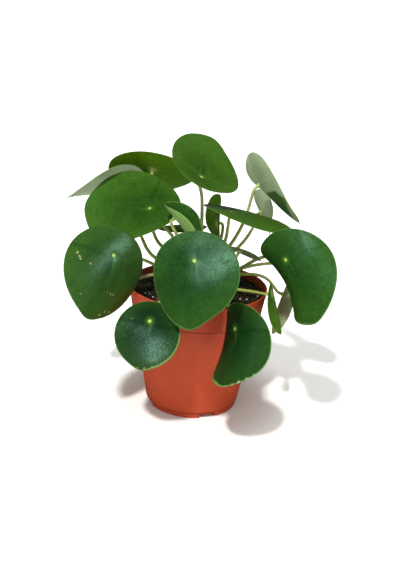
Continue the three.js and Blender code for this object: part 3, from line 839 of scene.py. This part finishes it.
def terracotta():
    made, bench, shader = new_material("terracotta_plastic", Specular_IOR_Level=0.22)
    place = on_object(bench)
    clouds = noise(bench, place, 22.0, 4.0)
    fine = noise(bench, place, 900.0, 3.0)
    pale = noise(bench, place, 420.0, 2.0, offset=(3.0, 1.0, 2.0)).smooth(0.7, 0.76)
    dark = noise(bench, place, 330.0, 2.0, offset=(7.0, 5.0, 1.0)).smooth(0.7, 0.74)
    # Painted shade darkens the two steps of the moulding, under the collar and over the foot.
    height = bench.parts(place)[2] / MM
    shade_under_collar = 1 - (height - COLLAR_LOW - 0.2).absolute().smooth(0.3, 0.8)
    shade_over_foot = 1 - (height - FOOT_HEIGHT - 0.4).absolute().smooth(0.3, 0.9)
    red = layered(
        bench, blend(bench, clouds, "a4381a", "b64725"),
        ((fine - 0.5).absolute() * 0.5, "842c14"),
        (pale * 0.35, "dd9a78"),
        (dark * 0.5, "6e2c17"),
        # Painted shade in the two steps
        ((shade_under_collar + shade_over_foot) * (0.5 + clouds * 0.6), "4a160a"))
    rough = 0.5 + (clouds - 0.5) * 0.3 + (fine - 0.5) * 0.1
    skin(bench, shader, red, rough, fine * 0.5 + clouds * 1.5, 0.25 * MM)
    return made


pot_finish = terracotta()
print("pot:", pot_finish.name)

# %% Pot profile
CORNER_CUT = 0.4
# The most that a corner takes of a side, which leaves the side a fifth of its length
MOST_OF_SIDE = 0.4


def body_radius(height):
    """The radius of the plain wall at a height, both in millimetres."""
    return FOOT_RADIUS + (RIM_RADIUS - COLLAR_STEP - FOOT_RADIUS) / POT_HEIGHT * height


def rounded(corners, cut, steps=3):
    """Replaces each corner of a closed profile with a short curve."""
    points = []
    for before, corner, after in zip(corners[-1:] + corners[:-1], corners, corners[1:] + corners[:1]):
        before, corner, after = (Vector(p) for p in (before, corner, after))
        back, on = before - corner, after - corner
        start = corner + back.normalized() * min(cut, back.length * MOST_OF_SIDE)
        end = corner + on.normalized() * min(cut, on.length * MOST_OF_SIDE)
        for step in range(steps + 1):
            way = step / steps
            points.append(start * (1 - way) ** 2 + corner * 2 * way * (1 - way) + end * way ** 2)
    return points


outside = [
    (body_radius(0) - FOOT_STEP, 0),
    (body_radius(FOOT_HEIGHT) - FOOT_STEP, FOOT_HEIGHT),
    (body_radius(FOOT_HEIGHT + FOOT_STEP), FOOT_HEIGHT + FOOT_STEP),
    (body_radius(COLLAR_LOW), COLLAR_LOW),
    (body_radius(COLLAR_LOW) + COLLAR_STEP, COLLAR_LOW + COLLAR_STEP / 2),
    (RIM_RADIUS - LIP_HEIGHT / 4, POT_HEIGHT - LIP_HEIGHT),
    (RIM_RADIUS, POT_HEIGHT - LIP_HEIGHT / 2),
    (RIM_RADIUS - LIP_HEIGHT / 4, POT_HEIGHT)]
inside = [
    (RIM_RADIUS - WALL, POT_HEIGHT),
    (body_radius(COLLAR_LOW) - WALL + COLLAR_STEP / 2, COLLAR_LOW + COLLAR_STEP),
    (body_radius(COLLAR_LOW) - WALL, COLLAR_LOW - COLLAR_STEP),
    (body_radius(FOOT_HEIGHT) - WALL, FOOT_HEIGHT)]
underneath = [
    (body_radius(0) - FOOT_STEP - WALL, FOOT_HEIGHT - FLOOR),
    (body_radius(0) - FOOT_STEP - WALL, 0)]


# %% Turn the profile
def turned(name, profile, segments):
    """A mesh of revolution from (radius, height) pairs in millimetres, from the lower axis end round."""
    shape = bmesh.new()
    rings = []
    turns = [i * math.tau / segments for i in range(segments)]
    for radius, height in profile:
        if radius < 1e-6:
            rings.append([shape.verts.new((0, 0, height * MM))])
            continue
        ring = [(radius * math.cos(a) * MM, radius * math.sin(a) * MM, height * MM) for a in turns]
        rings.append([shape.verts.new(place) for place in ring])
    for low, high in zip(rings, rings[1:]):
        for i in range(segments):
            j = (i + 1) % segments
            corners = [low[i % len(low)], low[j % len(low)], high[j % len(high)], high[i % len(high)]]
            corners = list(dict.fromkeys(corners))
            if len(corners) > 2:
                shape.faces.new(corners)
    bmesh.ops.recalc_face_normals(shape, faces=shape.faces)
    mesh = bpy.data.meshes.new(name)
    shape.to_mesh(mesh)
    shape.free()
    return mesh


floor_below, floor_above = (0, FOOT_HEIGHT - FLOOR), (0, FOOT_HEIGHT)
soft = rounded([floor_below] + underneath + outside + inside + [floor_above], CORNER_CUT)
# The two corners on the axis stay sharp, so their curves are left out.
soft = [point for point in soft if point[0] > CORNER_CUT + 0.1]
pot_mesh = turned("pot_blank", [floor_below] + soft + [floor_above], POT_SEGMENTS)
print("pot blank:", len(pot_mesh.polygons), "faces")

# %% Cut the notches and the drain holes
NOTCH_COUNT, NOTCH_WIDTH, NOTCH_HEIGHT, NOTCH_FIRST = 4, 15.0, 3.6, math.radians(-68)
DRAIN_COUNT, DRAIN_RADIUS, DRAIN_RING, DRAIN_SIDES = 8, 4.0, 27.0, 32
SHARP_ANGLE = math.radians(40)

pot_bench, pot_in = geometry_bench("pot_openings", {
    "Notches": int, "Notch width": float, "Notch height": float, "Notch turn": float,
    "Drains": int, "Drain radius": float, "Drain ring": float, "Finish": bpy.types.Material})


def in_a_ring(bench, cutter, count, radius, first):
    """Copies of a cutter on a ring, each turned to face outwards."""
    number = bench.node("GeometryNodeInputIndex")
    turn = first + number * math.tau / count
    points = bench.node("GeometryNodePoints", {}, {"Count": count})
    place = bench.vector(turn.cos() * radius, turn.sin() * radius, 0.0)
    points = bench.node("GeometryNodeSetPosition", {}, {"Geometry": points, "Position": place})
    facing = bench.vector(0.0, 0.0, turn)
    return bench.node("GeometryNodeInstanceOnPoints", {},
                      {"Points": points, "Instance": cutter, "Rotation": facing})


# Each cutter reaches well past the wall or the floor that it goes through.
notch_size = pot_bench.vector(8 * WALL * MM, pot_in["Notch width"], pot_in["Notch height"] * 2)
notch = pot_bench.node("GeometryNodeMeshCube", {}, {"Size": notch_size}, "Mesh")
notch_ring = (FOOT_RADIUS - WALL) * MM
notches = in_a_ring(pot_bench, notch, pot_in["Notches"], notch_ring, pot_in["Notch turn"])
drain = pot_bench.node("GeometryNodeMeshCylinder", {}, {
    "Vertices": DRAIN_SIDES, "Radius": pot_in["Drain radius"], "Depth": 4 * FLOOR * MM}, "Mesh")
drain = pot_bench.node("GeometryNodeTransform", {}, {
    "Geometry": drain, "Translation": (0, 0, FOOT_HEIGHT * MM)})
drains = in_a_ring(pot_bench, drain, pot_in["Drains"], pot_in["Drain ring"], 0.0)
cutters = joined(pot_bench, notches, drains)
cutters = pot_bench.node("GeometryNodeRealizeInstances", {}, {"Geometry": cutters})
cut = pot_bench.node("GeometryNodeMeshBoolean", {"operation": "DIFFERENCE"}, {
    "Mesh 1": pot_in["Geometry"], "Mesh 2": cutters}, "Mesh")
close_tree(pot_bench, cut, pot_in["Finish"])

pot = grow("nursery_pot", pot_bench, {
    "Notches": NOTCH_COUNT, "Notch width": NOTCH_WIDTH * MM, "Notch height": NOTCH_HEIGHT * MM,
    "Notch turn": NOTCH_FIRST, "Drains": DRAIN_COUNT, "Drain radius": DRAIN_RADIUS * MM,
    "Drain ring": DRAIN_RING * MM, "Finish": pot_finish}, pot_mesh)
pot.data.shade_smooth()
pot.data.set_sharp_from_angle(angle=SHARP_ANGLE)
settle(pot, ["pot"])

# %% [markdown]
# ## The soil
#
# Potting soil is dark, damp and lumpy, with white grains of perlite. The surface is a polar grid whose
# heights add a low mound and several sizes of lumps. Crumbs and perlite are then strewn over it by a
# geometry tree, small rough balls of 80 faces each, sunk half into the surface.

# %% Soil materials
def soil_material():
    made, bench, shader = new_material("damp_soil", Specular_IOR_Level=0.25)
    place = on_object(bench)
    clumps = noise(bench, place, 160.0, 4.0, 0.7)
    grit = noise(bench, place, 900.0, 3.0, 0.7)
    brown = blend(bench, clumps.smooth(0.35, 0.7), "0e0b09", "2b2119")
    brown = blend(bench, grit.smooth(0.52, 0.7) * 0.8, brown, "6c5a46")
    skin(bench, shader, brown, 0.75 + (grit - 0.5) * 0.3, clumps + grit * 0.5, 1.2 * MM)
    return made


def perlite_material():
    made, bench, shader = new_material("perlite", Specular_IOR_Level=0.3)
    place = on_object(bench)
    pits = noise(bench, place, 1600.0, 3.0)
    white = blend(bench, pits, "8c8a80", "e6e4da")
    skin(bench, shader, white, 0.7 + pits * 0.2, pits, 0.3 * MM)
    return made


soil_finish, perlite_finish = soil_material(), perlite_material()
print("soil:", soil_finish.name, perlite_finish.name)

# %% Soil surface
SOIL_LEVEL, SOIL_MOUND, SOIL_LUMP = 102.5, 3.5, 0.9
WAVE_COARSE, WAVE_FINE, FINE_SHARE, ROUGH_SHARE = 0.31, 0.64, 0.6, 0.45
GAP = 0.3
SOIL_SEGMENTS, SOIL_RINGS = 150, 46
STEM_RADIUS, STEM_BURIED_TO = 4.6, 84.0


def soil_height(x, y):
    """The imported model's mound and lumps, with finer lumps on them."""
    share = math.hypot(x, y) / RIM_RADIUS
    wide = math.sin(WAVE_COARSE * x + 1) * math.cos(WAVE_COARSE * y)
    narrow = FINE_SHARE * math.sin(WAVE_FINE * (x - y))
    across = math.sin(1.7 * x + 2.1 * math.sin(0.9 * y))
    along = math.sin(1.5 * y + 1.3 * math.sin(1.1 * x))
    rough = ROUGH_SHARE * across * along
    return SOIL_LEVEL + SOIL_MOUND * (1 - share * share) + SOIL_LUMP * (wide + narrow + rough)


soil_low = FOOT_HEIGHT + GAP
soil_edge = body_radius(SOIL_LEVEL) - WALL - GAP
hole = STEM_RADIUS
wall = [(0, soil_low), (body_radius(soil_low) - WALL - GAP, soil_low),
        (body_radius(COLLAR_LOW - COLLAR_STEP) - WALL - GAP, COLLAR_LOW - COLLAR_STEP)]
top = [(soil_edge + (hole - soil_edge) * i / SOIL_RINGS, SOIL_LEVEL) for i in range(SOIL_RINGS + 1)]
soil_mesh = turned("soil_blank", wall + top + [(hole, STEM_BURIED_TO - GAP), (0, STEM_BURIED_TO - GAP)],
                   SOIL_SEGMENTS)
for vertex in soil_mesh.vertices:
    x, y, z = (v / MM for v in vertex.co)
    from_axis = math.hypot(x, y)
    if z < STEM_BURIED_TO - 2 * GAP or from_axis > soil_edge + 1:
        continue
    # The hole lies under the stem, which stands a little off the pot's axis.
    inward = min(1, max(0, (soil_edge - from_axis) / (soil_edge - hole)))
    x += STEM_PLACE.x / MM * inward
    y += STEM_PLACE.y / MM * inward
    if z > SOIL_LEVEL - 1e-3:
        z = soil_height(x, y)
    vertex.co = Vector((x, y, z)) * MM
soil_mesh.materials.append(soil_finish)
soil_mesh.shade_smooth()
soil = new_object("potting_soil", soil_mesh)
settle(soil, ["soil"])

# %% Crumbs and perlite
# Grains lie where the soil faces up, is higher than this and lies within this distance of the axis.
LEAST_UP, LEAST_HEIGHT = 0.3, (SOIL_LEVEL - 4.5) * MM
GRAIN_EDGE = (soil_edge - 1.2) * MM
FULL_TURN = (math.tau, math.tau, math.tau)

scatter_bench, scatter_in = geometry_bench("strewn_grains", {
    "Density": float, "Smallest": float, "Largest": float, "Roughness": float, "Edge": float,
    "Seed": int, "Finish": bpy.types.Material})
up = scatter_bench.parts(scatter_bench.node("GeometryNodeInputNormal"))[2]
x, y, z = scatter_bench.parts(scatter_bench.node("GeometryNodeInputPosition"))
within = (x * x + y * y).sqrt() < scatter_in["Edge"]
is_top = (up > LEAST_UP) * (z > LEAST_HEIGHT) * within
points = scatter_bench.node("GeometryNodeDistributePointsOnFaces", {}, {
    "Mesh": scatter_in["Geometry"], "Selection": is_top, "Density": scatter_in["Density"],
    "Seed": scatter_in["Seed"]}, "Points")
ball = scatter_bench.node("GeometryNodeMeshIcoSphere", {}, {"Radius": 1.0, "Subdivisions": 2}, "Mesh")
size = scatter_bench.node("FunctionNodeRandomValue", {"data_type": "FLOAT"}, {
    "Min": scatter_in["Smallest"], "Max": scatter_in["Largest"], "Seed": scatter_in["Seed"]}, "Value")
spin = scatter_bench.node("FunctionNodeRandomValue", {"data_type": "FLOAT_VECTOR"}, {
    "Min": (0.0, 0.0, 0.0), "Max": FULL_TURN, "Seed": 5}, "Value")
grains = scatter_bench.node("GeometryNodeInstanceOnPoints", {}, {
    "Points": points, "Instance": ball, "Rotation": spin, "Scale": size})
grains = scatter_bench.node("GeometryNodeRealizeInstances", {}, {"Geometry": grains})
here = scatter_bench.node("GeometryNodeInputPosition")
knock = scatter_bench.node("ShaderNodeTexNoise", {}, {
    "Vector": here, "Scale": 620.0, "Detail": 1.0}, "Color")
knock = scatter_bench.move("SUBTRACT", knock, (0.5, 0.5, 0.5))
knock = scatter_bench.move("SCALE", knock, scatter_in["Roughness"])
grains = scatter_bench.node("GeometryNodeSetPosition", {}, {"Geometry": grains, "Offset": knock})
close_tree(scatter_bench, grains, scatter_in["Finish"])

crumbs = grow("soil_crumbs", scatter_bench, {
    "Density": 130000.0, "Smallest": 0.4 * MM, "Largest": 1.9 * MM, "Roughness": 1.9 * MM,
    "Edge": GRAIN_EDGE, "Seed": 3, "Finish": soil_finish}, soil_mesh.copy())
perlite = grow("perlite_grains", scatter_bench, {
    "Density": 17000.0, "Smallest": 0.3 * MM, "Largest": 0.95 * MM, "Roughness": 0.9 * MM,
    "Edge": GRAIN_EDGE, "Seed": 11, "Finish": perlite_finish}, soil_mesh.copy())
for grains in (crumbs, perlite):
    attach(grains, "root")
    print(grains.name, len(grains.data.polygons), "faces")

# %% [markdown]
# ## The main stem
#
# The stem is short and hidden among the petioles: brownish green, with the scars of older leaves. A
# turned rod whose radius swells in rings, pushed in and out by a few waves, is enough.

# %% Main stem
def stem_material():
    made, bench, shader = new_material("stem_skin", Specular_IOR_Level=0.35)
    place = on_object(bench)
    bark = noise(bench, place, 240.0, 4.0, 0.6)
    brown = blend(bench, bark.smooth(0.3, 0.7), "5b4a2c", "8a8450")
    skin(bench, shader, brown, 0.6 + (bark - 0.5) * 0.3, bark, 0.6 * MM)
    return made


STEM_TOP, STEM_STEPS, STEM_SIDES = 127.0, 40, 40
# How much thinner than its hole the stem is, and how much lower than STEM_TOP its tip lies
STEM_SPACE, STEM_DROP = 0.25, 0.3
SCAR_PITCH, SCAR_RISE = 3.2, 0.048
# The length over which the top closes
CLOSING = 7

stem_profile = [(0, STEM_BURIED_TO)]
for step in range(STEM_STEPS):
    height = STEM_BURIED_TO + (STEM_TOP - STEM_BURIED_TO) * step / STEM_STEPS
    shrink = math.sqrt(min(1, (STEM_TOP - height) / CLOSING))
    swell = 1 + SCAR_RISE * math.sin(height / SCAR_PITCH * math.tau)
    stem_profile.append(((STEM_RADIUS - STEM_SPACE) * shrink * swell, height))
stem_mesh = turned("stem", stem_profile + [(0, STEM_TOP - STEM_DROP)], STEM_SIDES)
for vertex in stem_mesh.vertices:
    angle, height = math.atan2(vertex.co.y, vertex.co.x), vertex.co.z
    three_waves = 0.03 * math.sin(3 * angle + height * 400)
    five_waves = 0.02 * math.sin(5 * angle - height * 700)
    push = 1 + three_waves + five_waves
    vertex.co.x = vertex.co.x * push + STEM_PLACE.x
    vertex.co.y = vertex.co.y * push + STEM_PLACE.y
stem_mesh.materials.append(stem_material())
stem_mesh.shade_smooth()
stem = new_object("stem", stem_mesh)
settle(stem, ["main_stem"])

# %% [markdown]
# ## Floor and light
#
# The plant was photographed out of doors and cut out against white. Its light is a soft sun from above
# and the left, which draws the shadows of the leaves on the pot, and three very wide suns stand for the
# bright surroundings. A plain white floor with a faint light of its own keeps the shadows on it soft.
# Anything white that a leaf mirrors veils its green, so the floor and the suns are hidden from glossy
# rays, and the world is white only in a band at the horizon. The sheen comes from three broad lamps
# that are seen in reflections alone, in the cool tint that light has once it has been through the wax.

# %% Floor
def floor_material():
    # A little light of its own keeps the shadows on the floor faint, as on a light table. Close round
    # the foot there is none, so that the pot stands in a soft, darker ring.
    made, bench, shader = new_material("pale_floor", Roughness=0.95, Specular_IOR_Level=0.1,
                                       Emission_Strength=0.4)
    place = on_object(bench)
    away = bench.move("LENGTH", place, out="Value").smooth(50 * MM, 120 * MM)
    plug(bench, shader, "Emission Color", blend(bench, away, "000000", "ffffff"))
    cloud = noise(bench, place, 3.0)
    plug(bench, shader, "Base Color", blend(bench, cloud, "f5f5f3", "f9f9f8"))
    return made


FLOOR_REACH = 120.0
floor_shape = bmesh.new()
corners = [(-1, -1, 0), (1, -1, 0), (1, 1, 0), (-1, 1, 0)]
floor_shape.faces.new([floor_shape.verts.new(Vector(c) * FLOOR_REACH) for c in corners])
floor_mesh = bpy.data.meshes.new("floor")
floor_shape.to_mesh(floor_mesh)
floor_shape.free()
floor_mesh.materials.append(floor_material())
floor = new_object("floor", floor_mesh)
floor.visible_glossy = False
print("floor reaches", FLOOR_REACH, "m each way")

# %% Lamps
PLANT_MIDDLE = Vector((0, 0, 140)) * MM
LAMP_DISTANCE = 1.3


def lamp(name, kind, turn, height, strength, tint, **settings):
    """A lamp aimed at the plant, so many degrees right of the camera's side and up from level."""
    data = bpy.data.lights.new(name, kind)
    data.energy = strength
    data.color = tint
    for key, value in settings.items():
        setattr(data, key, value)
    made = new_object(name, data)
    turn, height = math.radians(turn), math.radians(height)
    out, up = math.cos(height), math.sin(height)
    way = Vector((math.sin(turn) * out, -math.cos(turn) * out, up))
    made.location = PLANT_MIDDLE + way * LAMP_DISTANCE
    made.rotation_euler = way.to_track_quat("Z", "Y").to_euler()
    return made


WHITE, WARM, SKY_TINT = (1.0, 1.0, 1.0), (1.0, 0.98, 0.95), (0.55, 1.0, 0.8)
# Each sun: its turn, height, strength and tint, and how wide it looks, in degrees
SUNS = {
    "soft_sun": (-20, 54, 3.1, WARM, 4),
    "fill_above": (0, 90, 0.6, WHITE, 180),
    "fill_left": (-35, 6, 0.9, WHITE, 60),
    "fill_right": (65, 18, 0.6, WARM, 60),
}
# Each sky lamp: its turn, height and strength, and its form
SKY_LAMPS = {
    "sky_front": (-23, 14, 12.0, dict(shape="ELLIPSE", size=0.4, size_y=0.8)),
    "sky_left": (-48, 33, 9.0, dict(shape="DISK", size=0.4)),
    "sky_right": (77, 24, 7.5, dict(shape="DISK", size=0.45)),
}
# The suns only light and shade. Their mirror images would be hard glints or a veil on the wax.
for name, (turn, height, strength, tint, width) in SUNS.items():
    sun = lamp(name, "SUN", turn, height, strength, tint, angle=math.radians(width))
    sun.visible_glossy = False
# The sky lamps are only mirrored: they put the sheen on the wax without lighting the skin below it.
for name, (turn, height, strength, form) in SKY_LAMPS.items():
    sky_lamp = lamp(name, "AREA", turn, height, strength, SKY_TINT, **form)
    sky_lamp.visible_diffuse = False
print("lamps:", ", ".join((*SUNS, *SKY_LAMPS)))

# %% World
# The strength of the world in its three parts, and the heights between which the white band ends
OVERHEAD, HORIZON, BELOW = 0.15, 1.05, 0.04
BAND_EDGE = (0.065, 0.085)

world = bpy.data.worlds.new("world")
world.use_nodes = True
sky = Bench(world.node_tree)
height = sky.parts(sky.node("ShaderNodeTexCoord", {}, (), "Generated"))[2]
away_from_horizon = height.absolute().smooth(*BAND_EDGE)
open_sky = height.smooth(-0.02, 0.02) * (OVERHEAD - BELOW) + BELOW
strength = HORIZON * (1 - away_from_horizon) + open_sky * away_from_horizon
background = world.node_tree.nodes["Background"]
plug(sky, background, "Strength", strength)
background.inputs["Color"].default_value = (1.0, 1.0, 1.0, 1.0)
bpy.context.scene.world = world
bpy.context.scene.view_settings.view_transform = "Standard"
print("world:", len(world.node_tree.nodes), "nodes")
